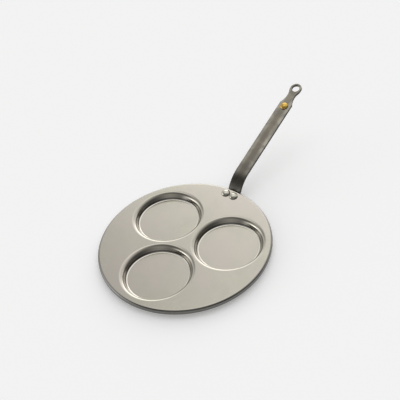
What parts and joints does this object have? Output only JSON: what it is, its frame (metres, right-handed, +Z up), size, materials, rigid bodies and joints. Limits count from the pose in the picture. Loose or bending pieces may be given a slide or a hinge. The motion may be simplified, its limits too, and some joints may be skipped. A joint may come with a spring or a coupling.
{
  "type": "blini pan",
  "caption": "Round pressed-steel plate with shallow round wells for small pancakes, and a riveted, bent strip handle with a hanging eye and a brass button.",
  "frame": {"origin": "on the surface that the pan stands on, below the middle of the whole pan with its handle", "axes": "+X along the handle, away from the plate; +Z up, out of the wells' mouths; +Y to the left of the handle"},
  "size_m": [0.4754, 0.27, 0.0911],
  "materials": {
    "plate_steel": "bare carbon steel, satin, fine straight grain from rolling",
    "handle_steel": "darker bare strip steel, satin, with a thin rolled skin",
    "rivet_steel": "bright steel heads, lightly polished",
    "button_brass": "plain polished brass dome, nothing stamped on it"
  },
  "bodies": {
    "root": {"pan_plate": "plate_steel", "handle": "handle_steel", "rivet_left": "rivet_steel", "rivet_right": "rivet_steel", "handle_button": "button_brass"}
  },
  "joints": []
}
